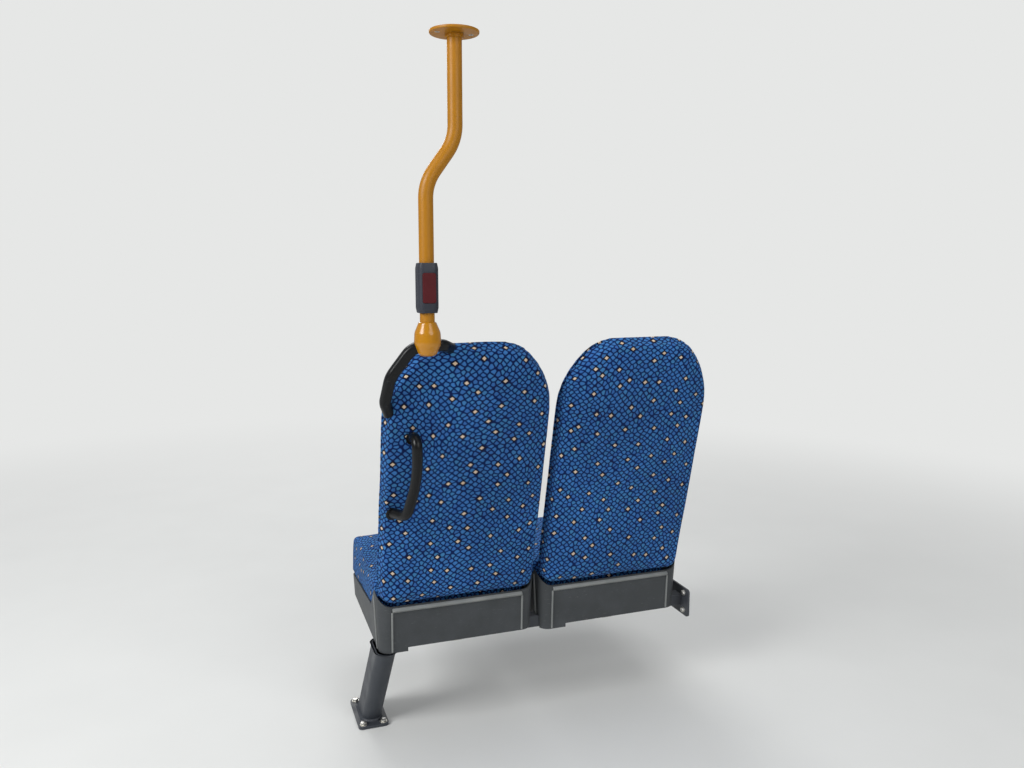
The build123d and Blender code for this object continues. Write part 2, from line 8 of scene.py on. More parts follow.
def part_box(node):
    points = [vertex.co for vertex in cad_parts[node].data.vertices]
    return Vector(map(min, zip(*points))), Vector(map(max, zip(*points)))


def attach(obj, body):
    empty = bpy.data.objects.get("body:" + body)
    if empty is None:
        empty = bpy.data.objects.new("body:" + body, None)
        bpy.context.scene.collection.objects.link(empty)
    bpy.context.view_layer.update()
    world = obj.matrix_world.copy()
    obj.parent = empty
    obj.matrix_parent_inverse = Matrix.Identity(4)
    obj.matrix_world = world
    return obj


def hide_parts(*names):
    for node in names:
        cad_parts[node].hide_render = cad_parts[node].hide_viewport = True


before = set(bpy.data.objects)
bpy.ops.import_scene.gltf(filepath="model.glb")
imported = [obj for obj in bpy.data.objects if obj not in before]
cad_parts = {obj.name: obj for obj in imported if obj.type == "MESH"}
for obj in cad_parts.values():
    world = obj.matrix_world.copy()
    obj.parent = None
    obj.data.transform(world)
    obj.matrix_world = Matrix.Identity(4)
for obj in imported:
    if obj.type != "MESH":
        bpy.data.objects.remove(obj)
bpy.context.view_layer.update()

bl_info = {
    "name": "Double bus seat with grab pole",
    "version": (1, 0, 0),
    "blender": (4, 5, 0),
    "location": "View3D > Sidebar > Bus seat",
    "description": "Dresses a twin passenger seat in moquette, plastic and painted steel",
    "category": "Object",
}

BODY = "root"
SEATS = ("aisle", "window")
MM = 0.001

# The plane of a back's rear face, as in the frame: across, up the slope, out to the rear
BACK_FOOT = (-0.175, 0.380)
RECLINE = radians(14.5)
BACK_HALF = 0.225
BACK_HEIGHT = 0.730
COVER_DEPTH = 0.040
PAD_DEPTH = 0.030

# A tray's outer walls, as in the frame: they lean in below the rim, and end higher on the window side
TRAY_REAR_Y = -0.173
TRAY_HALF = 0.224
TRAY_RIM_Z = 0.443
TRAY_LEAN = 9 / 193
TRAY_FOOT_Z = ((-1, 0.253), (1, 0.264))

# The leg's head, seen from its foot, and half of its oval section across and along
LEG_HEAD = (0.027, -0.104)
LEG_RADIUS = 0.027
LEG_STRAIGHT = 0.031

# Middles of the bolt holes, and how far the holes stand from them
FLOOR_HOLES = (0.028, 0.069)
WALL_MIDDLE = (0.008, 0.2695)
WALL_HOLES = (0.165, 0.027)
CEILING_HOLES = 0.039

# Each lamp's name, place, what it points at, width and watts
LAMPS = (
    ("aisle_softbox", (-4.2, -1.8, 3.4), (0.45, 0, 0.75), 2.6, 205),
    ("rear_softbox", (1.8, -4.6, 3.2), (0.45, 0, 0.7), 3.4, 78),
    ("far_softbox", (0.4, 4.4, 3.8), (0.45, 0, 0.6), 3.0, 105),
    ("top_softbox", (0.5, -0.4, 5.2), (0.45, -0.1, 0.6), 2.6, 45),
)
# Where the photograph was taken, and what the camera points at from there
PHOTO_EYE = (-0.372, -2.263, 1.273)
PHOTO_AIM = (0.40, -0.10, 0.95)

MERGE = 1e-6
# The colour sockets of a Mix node
MIX_A, MIX_B, MIX_OUT = 6, 7, 2
UP = Vector((0, 0, 1))


def linear(hex_colour):
    """An sRGB hex value as a linear colour with alpha."""
    parts = []
    for start in (1, 3, 5):
        value = int(hex_colour[start:start + 2], 16) / 255
        parts.append(value / 12.92 if value <= 0.04045 else ((value + 0.055) / 1.055) ** 2.4)
    return (*parts, 1.0)


def colour_property(name, description, hex_colour):
    return bpy.props.FloatVectorProperty(
        name=name, description=description, subtype="COLOR", size=4, min=0, max=1,
        default=linear(hex_colour)
    )


def length_property(name, description, millimetres):
    return bpy.props.FloatProperty(
        name=name, description=description, subtype="DISTANCE", unit="LENGTH", min=0,
        default=millimetres * MM
    )


class MoquetteSettings(bpy.types.PropertyGroup):
    """Woven pile cloth of backs and cushions."""

    cell: length_property("Cell", "Distance between the mosaic's cells", 12.8)
    diamonds: length_property("Diamonds", "Distance between the warm diamonds", 57.0)
    thread: length_property("Thread", "Distance between the woven rows, twice the real 0.7 mm", 1.5)
    blue: colour_property("Blue", "Main colour of the cells", "#3D77BA")
    teal: colour_property("Teal", "Greener cells", "#3F7DB0")
    violet: colour_property("Violet", "Deeper cells", "#3260A6")
    net: colour_property("Net", "Lines between the cells", "#031D50")
    net_warm: colour_property("Purple net", "Lines where the purple yarn shows", "#0C1846")
    amber: colour_property("Amber", "Middle of the warm diamonds", "#D6B790")
    peach: colour_property("Peach", "Rim of the warm diamonds", "#E0CCB9")


class PaddingSettings(bpy.types.PropertyGroup):
    """How the foam fills its cover."""

    voxel: length_property("Voxel", "Size of the mesh that is blown up", 6.5)
    pressure: bpy.props.FloatProperty(name="Pressure", description="Pressure of the foam", default=4.0)
    steps: bpy.props.IntProperty(name="Steps", description="Frames given to the cloth", default=20, min=1)
    shrink: length_property("Shrink", "How much smaller a pad starts than its solid", 4.0)
    cover_cap: length_property("Cover cap", "Most that the thin rear cover swells", 6.5)
    pad_cap: length_property("Pad cap", "Most that the front pad of a back swells", 7.0)
    cushion_cap: length_property("Cushion cap", "Most that a seat cushion swells", 11.0)


class HardwareSettings(bpy.types.PropertyGroup):
    """Painted steel, moulded plastic and fasteners."""

    moulded_edge: length_property("Moulded edge", "Rounding of the moulded parts' edges", 1.3)
    pressed_edge: length_property("Pressed edge", "Rounding of the cut steel's edges", 0.7)
    tray: colour_property("Tray", "Grey moulded plastic", "#404345")
    leg: colour_property("Leg", "Blue-grey powder coat", "#363A40")
    beam: colour_property("Beam", "Dark powder coat of the frame", "#3C3F44")
    pole: colour_property("Pole", "Yellow powder coat of the grab pole", "#AC7206")
    coupling: colour_property("Coupling", "Glossy amber of the coupling", "#B67A02")
    handle: colour_property("Handle", "Black satin grab handles", "#0B0C0D")
    housing: colour_property("Housing", "Dark grey push button housing", "#2D3038")
    button: colour_property("Button", "Maroon push button pad", "#4A0910")


class StageSettings(bpy.types.PropertyGroup):
    """Floor, light and camera."""

    floor: colour_property("Floor", "Plain pale floor", "#D9DAD8")
    backdrop: colour_property("Backdrop", "What is seen above the floor", "#E6E7E6")
    ambient: bpy.props.FloatProperty(name="Ambient", description="Light of the world", default=0.30)
    lens: bpy.props.FloatProperty(name="Lens", description="Focal length in mm", default=29.5)


def seat_settings():
    return bpy.context.scene.bus_seat


# Shader nodes

def add_node(tree, kind, inputs=None, **settings):
    """Adds one shader node; an input is a value, or a node and the name of its output."""
    made = tree.nodes.new(kind)
    for name, value in settings.items():
        setattr(made, name, value)
    for socket, value in (inputs or {}).items():
        if isinstance(value, tuple) and isinstance(value[0], bpy.types.Node):
            tree.links.new(value[0].outputs[value[1]], made.inputs[socket])
        else:
            made.inputs[socket].default_value = value
    return made


def new_material(name):
    """An empty material with its Principled shader."""
    material = bpy.data.materials.new(name)
    material.use_nodes = True
    tree = material.node_tree
    tree.nodes.clear()
    shader = add_node(tree, "ShaderNodeBsdfPrincipled")
    add_node(tree, "ShaderNodeOutputMaterial", {"Surface": (shader, "BSDF")})
    return material, tree, shader


def woven_moquette():
    """Wool moquette: a printed mosaic of blue cells in a navy net, with warm diamonds, on a short cut pile.

    The pile scatters light towards the eye at grazing angles, so edges and shoulders look paler.
    """
    size = seat_settings().moquette
    material, tree, shader = new_material("woven_moquette")
    cloth = add_node(tree, "ShaderNodeUVMap", uv_map="cloth")
    # The rows of cells bend by some millimetres over a hand's width
    flow = add_node(tree, "ShaderNodeTexNoise", {"Vector": (cloth, "UV"), "Scale": 5.0, "Detail": 0.5},
                    noise_dimensions="2D")
    centred = add_node(tree, "ShaderNodeVectorMath", {0: (flow, "Color"), 1: (0.5, 0.5, 0.5)},
                       operation="SUBTRACT")
    swept = add_node(tree, "ShaderNodeVectorMath", {0: (centred, "Vector"), 1: (0.028, 0.028, 0),
                                                    2: (cloth, "UV")}, operation="MULTIPLY_ADD")
    # One unit of the lattice is one cell, and its axes run along the diagonals of the cloth
    cell = 1 / size.cell
    squeezed = add_node(tree, "ShaderNodeMapping", {"Vector": (swept, "Vector"),
                                                    "Scale": (0.97 * cell, 1.06 * cell, 1)})
    lattice = add_node(tree, "ShaderNodeMapping", {"Vector": (squeezed, "Vector"),
                                                   "Rotation": (0, 0, radians(45))})
    stones = {"Vector": (lattice, "Vector"), "Scale": 1.0, "Randomness": 0.52}
    centre = add_node(tree, "ShaderNodeTexVoronoi", stones, voronoi_dimensions="2D", feature="F1")
    border = add_node(tree, "ShaderNodeTexVoronoi", stones, voronoi_dimensions="2D",
                      feature="DISTANCE_TO_EDGE")
    dice = add_node(tree, "ShaderNodeSeparateColor", {"Color": (centre, "Color")})

    bluish = add_node(tree, "ShaderNodeMapRange", {"Value": (dice, "Red"), "From Min": 0.45,
                                                   "From Max": 1.0})
    first = add_node(tree, "ShaderNodeMix", {0: (bluish, "Result"), MIX_A: size.blue[:],
                                             MIX_B: size.teal[:]}, data_type="RGBA")
    deep = add_node(tree, "ShaderNodeMapRange", {"Value": (dice, "Green"), "From Min": 0.55,
                                                 "From Max": 1.0, "To Max": 0.75})
    second = add_node(tree, "ShaderNodeMix", {0: (deep, "Result"), MIX_A: (first, MIX_OUT),
                                              MIX_B: size.violet[:]}, data_type="RGBA")
    yarn = add_node(tree, "ShaderNodeTexNoise", {"Vector": (cloth, "UV"), "Scale": 26.0, "Detail": 1.0},
                    noise_dimensions="2D")
    purple = add_node(tree, "ShaderNodeMapRange", {"Value": (yarn, "Fac"), "From Min": 0.5,
                                                   "From Max": 0.7})
    line = add_node(tree, "ShaderNodeMix", {0: (purple, "Result"), MIX_A: size.net[:],
                                            MIX_B: size.net_warm[:]}, data_type="RGBA")
    ragged = add_node(tree, "ShaderNodeTexNoise", {"Vector": (cloth, "UV"), "Scale": 320.0, "Detail": 1.0},
                      noise_dimensions="2D")
    nudge = add_node(tree, "ShaderNodeMath", {0: (ragged, "Fac"), 1: 0.10, 2: (border, "Distance")},
                     operation="MULTIPLY_ADD")
    edges = add_node(tree, "ShaderNodeMapRange", {"Value": (nudge, "Value"), "From Min": 0.13,
                                                  "From Max": 0.27})
    corners = add_node(tree, "ShaderNodeMapRange", {"Value": (centre, "Distance"), "From Min": 0.44,
                                                    "From Max": 0.60, "To Min": 1.0, "To Max": 0.0})
    inside = add_node(tree, "ShaderNodeMath", {0: (edges, "Result"), 1: (corners, "Result")},
                      operation="MULTIPLY")
    mosaic = add_node(tree, "ShaderNodeMix", {0: (inside, "Value"), MIX_A: (line, MIX_OUT),
                                              MIX_B: (second, MIX_OUT)}, data_type="RGBA")

    # A coarser lattice picks the cells that carry a diamond, a square of the lattice in a dark outline
    coarse = add_node(tree, "ShaderNodeTexVoronoi", {"Vector": (lattice, "Vector"),
                                                     "Scale": size.cell / size.diamonds,
                                                     "Randomness": 0.6},
                      voronoi_dimensions="2D", feature="F1")
    chosen = add_node(tree, "ShaderNodeTexVoronoi", stones | {"Vector": (coarse, "Position")},
                      voronoi_dimensions="2D", feature="F1")
    apart = add_node(tree, "ShaderNodeVectorMath", {0: (lattice, "Vector"), 1: (chosen, "Position")},
                     operation="SUBTRACT")
    folded = add_node(tree, "ShaderNodeVectorMath", {0: (apart, "Vector")}, operation="ABSOLUTE")
    sides = add_node(tree, "ShaderNodeSeparateXYZ", {"Vector": (folded, "Vector")})
    reach = add_node(tree, "ShaderNodeMath", {0: (sides, "X"), 1: (sides, "Y")}, operation="MAXIMUM")
    frayed = add_node(tree, "ShaderNodeMath", {0: (ragged, "Fac"), 1: -0.08, 2: (reach, "Value")},
                      operation="MULTIPLY_ADD")
    rim = add_node(tree, "ShaderNodeMapRange", {"Value": (frayed, "Value"), "From Min": 0.48,
                                                "From Max": 0.58, "To Min": 1.0, "To Max": 0.0})
    core = add_node(tree, "ShaderNodeMapRange", {"Value": (frayed, "Value"), "From Min": 0.22,
                                                 "From Max": 0.29, "To Min": 1.0, "To Max": 0.0})
    hue = add_node(tree, "ShaderNodeSeparateColor", {"Color": (chosen, "Color")})
    paler = add_node(tree, "ShaderNodeMapRange", {"Value": (hue, "Blue"), "To Max": 0.5})
    outward = add_node(tree, "ShaderNodeMath", {0: (reach, "Value"), 1: 2.6, 2: (paler, "Result")},
                       operation="MULTIPLY_ADD", use_clamp=True)
    diamond = add_node(tree, "ShaderNodeMix", {0: (outward, "Value"), MIX_A: size.amber[:],
                                               MIX_B: size.peach[:]}, data_type="RGBA")
    outlined = add_node(tree, "ShaderNodeMix", {0: (rim, "Result"), MIX_A: (mosaic, MIX_OUT),
                                                MIX_B: linear("#0A0C1A")}, data_type="RGBA")
    print_colour = add_node(tree, "ShaderNodeMix", {0: (core, "Result"), MIX_A: (outlined, MIX_OUT),
                                                    MIX_B: (diamond, MIX_OUT)}, data_type="RGBA")
    faded = add_node(tree, "ShaderNodeTexNoise", {"Vector": (cloth, "UV"), "Scale": 4.0, "Detail": 2.0},
                     noise_dimensions="2D")
    fade = add_node(tree, "ShaderNodeMapRange", {"Value": (faded, "Fac"), "From Min": 0.3, "From Max": 0.75,
                                                 "To Min": 0.86, "To Max": 1.10})
    pile = add_node(tree, "ShaderNodeTexNoise", {"Vector": (cloth, "UV"), "Scale": 800.0, "Detail": 2.0},
                    noise_dimensions="2D")
    fleck = add_node(tree, "ShaderNodeMapRange", {"Value": (pile, "Fac"), "From Min": 0.3, "From Max": 0.7,
                                                  "To Min": 0.80, "To Max": 1.18})
    uneven = add_node(tree, "ShaderNodeMath", {0: (fade, "Result"), 1: (fleck, "Result")},
                      operation="MULTIPLY")
    shade = add_node(tree, "ShaderNodeMix", {0: 1.0, MIX_A: (print_colour, MIX_OUT),
                                             MIX_B: (uneven, "Value")},
                     data_type="RGBA", blend_type="MULTIPLY")
    tree.links.new(shade.outputs[MIX_OUT], shader.inputs["Base Color"])

    # Rows of pile, with the cells standing a little above the net
    rows = add_node(tree, "ShaderNodeTexWave", {"Vector": (cloth, "UV"), "Scale": 0.31831 / size.thread,
                                                "Distortion": 1.2, "Detail": 1.0},
                    wave_type="BANDS", bands_direction="Y")
    fibre = add_node(tree, "ShaderNodeMath", {0: (rows, "Fac"), 1: 0.35, 2: (pile, "Fac")},
                     operation="MULTIPLY_ADD")
    raised = add_node(tree, "ShaderNodeMath", {0: (inside, "Value"), 1: 0.55, 2: (fibre, "Value")},
                      operation="MULTIPLY_ADD")
    relief = add_node(tree, "ShaderNodeBump", {"Height": (raised, "Value"), "Strength": 0.8,
                                               "Distance": 0.6 * MM})
    tree.links.new(relief.outputs["Normal"], shader.inputs["Normal"])
    shader.inputs["Roughness"].default_value = 0.88
    shader.inputs["Specular IOR Level"].default_value = 0.12
    shader.inputs["Sheen Weight"].default_value = 0.12
    shader.inputs["Sheen Roughness"].default_value = 0.45
    shader.inputs["Sheen Tint"].default_value = linear("#BBD4F2")
    return material


def moulded_plastic(name, colour, grain, roughness, wear, scratches=0.0):
    """Injection-moulded plastic with an eroded fine grain; grain is its pitch in metres."""
    material, tree, shader = new_material(name)
    place = add_node(tree, "ShaderNodeTexCoord")
    cloud = add_node(tree, "ShaderNodeTexNoise", {"Vector": (place, "Object"), "Scale": 9.0, "Detail": 4.0,
                                                  "Roughness": 0.6})
    handled = add_node(tree, "ShaderNodeMapRange", {"Value": (cloud, "Fac"), "From Min": 0.42,
                                                    "From Max": 0.72})
    tint = add_node(tree, "ShaderNodeMix", {0: (handled, "Result"), MIX_A: colour, MIX_B: wear},
                    data_type="RGBA")
    stretched = add_node(tree, "ShaderNodeMapping", {"Vector": (place, "Object"), "Scale": (60, 34, 420),
                                                     "Rotation": (0.5, 0.3, 0.8)})
    scuff = add_node(tree, "ShaderNodeTexNoise", {"Vector": (stretched, "Vector"), "Scale": 1.0,
                                                  "Detail": 3.0})
    fine = add_node(tree, "ShaderNodeMapRange", {"Value": (scuff, "Fac"), "From Min": 0.66,
                                                 "From Max": 0.74, "To Max": scratches})
    scuffed = add_node(tree, "ShaderNodeMix", {0: (fine, "Result"), MIX_A: (tint, MIX_OUT),
                                               MIX_B: linear("#B9BABA")}, data_type="RGBA")
    tree.links.new(scuffed.outputs[MIX_OUT], shader.inputs["Base Color"])
    rough = add_node(tree, "ShaderNodeMapRange", {"Value": (cloud, "Fac"), "From Min": 0.3, "From Max": 0.7,
                                                  "To Min": roughness - 0.06, "To Max": roughness + 0.08})
    tree.links.new(rough.outputs["Result"], shader.inputs["Roughness"])
    erosion = add_node(tree, "ShaderNodeTexVoronoi", {"Vector": (place, "Object"), "Scale": 1 / grain},
                       feature="SMOOTH_F1")
    relief = add_node(tree, "ShaderNodeBump", {"Height": (erosion, "Distance"), "Strength": 0.5,
                                               "Distance": 0.12 * grain})
    tree.links.new(relief.outputs["Normal"], shader.inputs["Normal"])
    shader.inputs["Specular IOR Level"].default_value = 0.25
    return material


def powder_coat(name, colour, peel, roughness, chips, coat=0.0):
    """Polyester powder baked on steel: a soft orange peel, a little dust, and rubbed spots."""
    material, tree, shader = new_material(name)
    place = add_node(tree, "ShaderNodeTexCoord")
    cloud = add_node(tree, "ShaderNodeTexNoise", {"Vector": (place, "Object"), "Scale": 7.0, "Detail": 5.0})
    dusty = add_node(tree, "ShaderNodeMapRange", {"Value": (cloud, "Fac"), "From Min": 0.45,
                                                  "From Max": 0.75, "To Max": 0.22})
    tint = add_node(tree, "ShaderNodeMix", {0: (dusty, "Result"), MIX_A: colour, MIX_B: chips},
                    data_type="RGBA")
    tree.links.new(tint.outputs[MIX_OUT], shader.inputs["Base Color"])
    rubbed = add_node(tree, "ShaderNodeTexNoise", {"Vector": (place, "Object"), "Scale": 24.0,
                                                   "Detail": 3.0})
    rough = add_node(tree, "ShaderNodeMapRange", {"Value": (rubbed, "Fac"), "From Min": 0.3,
                                                  "From Max": 0.7, "To Min": roughness - 0.07,
                                                  "To Max": roughness + 0.10})
    tree.links.new(rough.outputs["Result"], shader.inputs["Roughness"])
    orange = add_node(tree, "ShaderNodeTexNoise", {"Vector": (place, "Object"), "Scale": 1 / peel,
                                                   "Detail": 1.0})
    relief = add_node(tree, "ShaderNodeBump", {"Height": (orange, "Fac"), "Strength": 0.35,
                                               "Distance": 0.10 * peel})
    tree.links.new(relief.outputs["Normal"], shader.inputs["Normal"])
    shader.inputs["Specular IOR Level"].default_value = 0.36
    shader.inputs["Coat Weight"].default_value = coat
    shader.inputs["Coat Roughness"].default_value = 0.12
    return material


def zinc_plated_steel():
    """Bright zinc with a faint blue and yellow passivation in clouds of a few millimetres."""
    material, tree, shader = new_material("zinc_plated_steel")
    place = add_node(tree, "ShaderNodeTexCoord")
    spangle = add_node(tree, "ShaderNodeTexNoise", {"Vector": (place, "Object"), "Scale": 160.0,
                                                    "Detail": 3.0})
    tint = add_node(tree, "ShaderNodeMix", {0: (spangle, "Fac"), MIX_A: linear("#B9BEC6"),
                                            MIX_B: linear("#CFC8B4")}, data_type="RGBA")
    tree.links.new(tint.outputs[MIX_OUT], shader.inputs["Base Color"])
    rough = add_node(tree, "ShaderNodeMapRange", {"Value": (spangle, "Fac"), "To Min": 0.24,
                                                  "To Max": 0.48})
    tree.links.new(rough.outputs["Result"], shader.inputs["Roughness"])
    relief = add_node(tree, "ShaderNodeBump", {"Height": (spangle, "Fac"), "Strength": 0.2,
                                               "Distance": 0.05 * MM})
    tree.links.new(relief.outputs["Normal"], shader.inputs["Normal"])
    shader.inputs["Metallic"].default_value = 1.0
    return material


def birch_plywood():
    """Rotary-cut birch: long soft grain on the faces and 1.4 mm plies along the edge."""
    material, tree, shader = new_material("birch_plywood")
    place = add_node(tree, "ShaderNodeTexCoord")
    along = add_node(tree, "ShaderNodeMapping", {"Vector": (place, "Object"), "Scale": (60, 7, 60)})
    grain = add_node(tree, "ShaderNodeTexNoise", {"Vector": (along, "Vector"), "Scale": 1.0, "Detail": 5.0})
    wood = add_node(tree, "ShaderNodeMix", {0: (grain, "Fac"), MIX_A: linear("#C9A878"),
                                            MIX_B: linear("#9C7748")}, data_type="RGBA")
    plies = add_node(tree, "ShaderNodeTexWave", {"Vector": (place, "Object"), "Scale": 0.31831 / (1.4 * MM),
                                                 "Distortion": 0.6}, wave_type="BANDS", bands_direction="Z")
    glue = add_node(tree, "ShaderNodeMapRange", {"Value": (plies, "Fac"), "From Min": 0.75, "From Max": 1.0,
                                                 "To Max": 0.5})
    tint = add_node(tree, "ShaderNodeMix", {0: (glue, "Result"), MIX_A: (wood, MIX_OUT),
                                            MIX_B: linear("#6B4B2A")}, data_type="RGBA")
    tree.links.new(tint.outputs[MIX_OUT], shader.inputs["Base Color"])
    relief = add_node(tree, "ShaderNodeBump", {"Height": (grain, "Fac"), "Strength": 0.3,
                                               "Distance": 0.15 * MM})
    tree.links.new(relief.outputs["Normal"], shader.inputs["Normal"])
    shader.inputs["Roughness"].default_value = 0.62
    return material


# Mesh helpers

def finish_mesh(bm, name, material, sharp=40.0, recalculate=True):
    """Makes an object of a bmesh, at the origin, and lets it ride on the seat's one body."""
    if recalculate:
        bmesh.ops.recalc_face_normals(bm, faces=bm.faces)
    mesh = bpy.data.meshes.new(name)
    bm.to_mesh(mesh)
    bm.free()
    piece = bpy.data.objects.new(name, mesh)
    bpy.context.collection.objects.link(piece)
    mesh.materials.append(material)
    mesh.shade_smooth()
    mesh.set_sharp_from_angle(angle=radians(sharp))
    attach(piece, BODY)
    return piece


def round_edges(bm, edges, width, segments=2):
    """Rounds some edges of a bmesh and returns what the bevel made."""
    return bmesh.ops.bevel(bm, geom=edges, offset=width, offset_type="OFFSET", segments=segments,
                           profile=0.5, affect="EDGES", clamp_overlap=True, material=-1)


def relax(bm, factor, rounds):
    """Evens a mesh out by drawing each point towards its neighbours."""
    for _ in range(rounds):
        bmesh.ops.smooth_vert(bm, verts=bm.verts, factor=factor, use_axis_x=True, use_axis_y=True,
                              use_axis_z=True)


def merged_copy(node):
    """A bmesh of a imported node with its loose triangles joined."""
    bm = bmesh.new()
    bm.from_mesh(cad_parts[node].data)
    bmesh.ops.remove_doubles(bm, verts=bm.verts, dist=MERGE)
    return bm


def dress(node, material):
    """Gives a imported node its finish."""
    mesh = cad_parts[node].data
    mesh.materials.clear()
    mesh.materials.append(material)


def softened(name, node, width, material):
    """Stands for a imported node, with its edges rounded as moulding or forming leaves them."""
    bm = merged_copy(node)
    bmesh.ops.dissolve_limit(bm, angle_limit=radians(1.2), verts=bm.verts, edges=bm.edges,
                             delimit={"NORMAL"})
    sharp = [e for e in bm.edges if len(e.link_faces) == 2 and e.calc_face_angle() > radians(28)]
    round_edges(bm, sharp, width)
    piece = finish_mesh(bm, name, material, sharp=50.0, recalculate=False)
    even = piece.modifiers.new("even shading", "WEIGHTED_NORMAL")
    even.keep_sharp = True
    even.weight = 60
    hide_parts(node)
    return piece


def back_point(centre_x, across, up, out):
    """A point of a back's own plane as a point of the frame."""
    rear_y, foot_z = BACK_FOOT
    return Vector((
        centre_x + across,
        rear_y - up * sin(RECLINE) - out * cos(RECLINE),
        foot_z + up * cos(RECLINE) - out * sin(RECLINE),
    ))


def back_place(centre_x, point):
    """Where a point of the frame lies in a back's own plane: across, up the slope, out to the rear."""
    rear_y, foot_z = BACK_FOOT
    y, z = point.y - rear_y, point.z - foot_z
    return point.x - centre_x, z * cos(RECLINE) - y * sin(RECLINE), -y * cos(RECLINE) - z * sin(RECLINE)


def seat_centre(seat):
    low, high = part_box("back_pad_" + seat)
    return (low.x + high.x) / 2


def turned_to(place, axis):
    """A matrix that puts Z along an axis at a place."""
    return Matrix.Translation(place) @ UP.rotation_difference(Vector(axis)).to_matrix().to_4x4()


# Foam in its cover

def remeshed(name, node, voxel, shrink, rounds):
    """A closed even mesh of a soft node, a little smaller and with its edges worn round."""
    bm = merged_copy(node)
    mesh = bpy.data.meshes.new(name)
    bm.to_mesh(mesh)
    bm.free()
    rough = bpy.data.objects.new(name, mesh)
    bpy.context.collection.objects.link(rough)
    remesh = rough.modifiers.new("even mesh", "REMESH")
    remesh.mode = "VOXEL"
    remesh.voxel_size = voxel
    even = bpy.data.meshes.new_from_object(rough.evaluated_get(bpy.context.evaluated_depsgraph_get()))
    bpy.data.objects.remove(rough)
    bm = bmesh.new()
    bm.from_mesh(even)
    bpy.data.meshes.remove(even)
    bm.normal_update()
    moves = [v.normal * shrink for v in bm.verts]
    for vertex, move in zip(bm.verts, moves):
        vertex.co -= move
    relax(bm, 0.5, rounds)
    return bm


def swell(piece, held, cap_at):
    """Blows a pad up as cloth under pressure, keeps the held points, and caps how far the rest may go."""
    size = seat_settings().padding
    start = [v.co.copy() for v in piece.data.vertices]
    group = piece.vertex_groups.new(name="held")
    group.add([i for i, point in enumerate(start) if held(point)], 1.0, "REPLACE")
    cloth = piece.modifiers.new("foam pressure", "CLOTH")
    cloth.settings.quality = 3
    cloth.settings.use_pressure = True
    cloth.settings.uniform_pressure_force = size.pressure
    cloth.settings.vertex_group_mass = group.name
    cloth.settings.effector_weights.gravity = 0.0
    cloth.collision_settings.use_collision = False
    for step in range(1, size.steps + 1):
        bpy.context.scene.frame_set(step)
    graph = bpy.context.evaluated_depsgraph_get()
    blown = piece.evaluated_get(graph).to_mesh()
    moved = [v.co.copy() for v in blown.vertices]
    piece.modifiers.remove(cloth)
    piece.vertex_groups.remove(group)
    bpy.context.scene.frame_set(1)
    for vertex, here, there in zip(piece.data.vertices, start, moved):
        move = there - here
        cap = cap_at(here)
        if move.length > 1e-7 and cap > 0:
            vertex.co = here + move.normalized() * cap * tanh(move.length / cap)
    bm = bmesh.new()
    bm.from_mesh(piece.data)
    relax(bm, 0.4, 3)
    bm.to_mesh(piece.data)
    bm.free()


def wrap_round(depth, radius, share):
    """Cloth length gained over the plan view at a depth below a panel with rounded edges."""
    if depth <= 0:
        return 0.0
    if depth < radius:
        turn = acos(1 - depth / radius)
        return radius * (turn - sin(turn))
    return radius * (pi / 2 - 1) + (depth - radius) * share


def lay_cloth(piece, local, panel, radius, share, shift):
    """UV map in metres: flat over the panel, and drawn down over its edges and round its corners."""
    left, right, low, high = panel
    layout = []
    for vertex in piece.data.vertices:
        across, along, depth = local(vertex.co)
        off_x = across - min(max(across, left), right)
        off_y = along - min(max(along, low), high)
        far = sqrt(off_x * off_x + off_y * off_y)
        gain = wrap_round(depth, radius, share) * min(1.0, far / 0.03)
        if far > 0:
            across += gain * off_x / far
            along += gain * off_y / far
        layout.append((across + shift[0], along + shift[1]))
    uv = piece.data.uv_layers.new(name="cloth")
    for loop in piece.data.loops:
        uv.data[loop.index].uv = layout[loop.vertex_index]


def press_in(piece, spots):
    """Dents a pad where something hard is screwed against it; a spot is a place, a reach and a move."""
    for vertex in piece.data.vertices:
        for place, reach, move in spots:
            far = (vertex.co - place).length / reach
            if far < 1:
                vertex.co += move * (1 - far * far) ** 2


def rumple(piece, depth, pitch, seed):
    """Slow uneven waves of used foam, of a depth and a pitch in metres."""
    shift = Vector((seed, 2.3 * seed, 0.7 * seed))
    normals = [v.normal.copy() for v in piece.data.vertices]
    for vertex, normal in zip(piece.data.vertices, normals):
        vertex.co += normal * depth * noise.noise(vertex.co / pitch + shift)


def pad_pieces(node_kind, shrink, rounds, held, cap_at, finish_piece):
    """Swells the window seat's solid once and gives each seat its own copy of it."""
    size = seat_settings().padding
    bm = remeshed(node_kind, f"{node_kind}_window", size.voxel, shrink, rounds)
    mesh = bpy.data.meshes.new(node_kind)
    bm.to_mesh(mesh)
    bm.free()
    first = bpy.data.objects.new(node_kind, mesh)
    bpy.context.collection.objects.link(first)
    swell(first, held, cap_at)
    window_x = seat_centre("window")
    for number, seat in enumerate(SEATS):
        bm = bmesh.new()
        bm.from_mesh(first.data)
        bmesh.ops.translate(bm, verts=bm.verts, vec=(seat_centre(seat) - window_x, 0, 0))
        piece = finish_mesh(bm, f"{node_kind}_cloth_{seat}", bpy.data.materials["woven_moquette"],
                            sharp=180.0, recalculate=False)
        finish_piece(piece, seat, number)
        smooth = piece.modifiers.new("smooth cloth", "SUBSURF")
        smooth.levels = smooth.render_levels = 1
        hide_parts(f"{node_kind}_{seat}")
    bpy.data.objects.remove(first)


# Operators

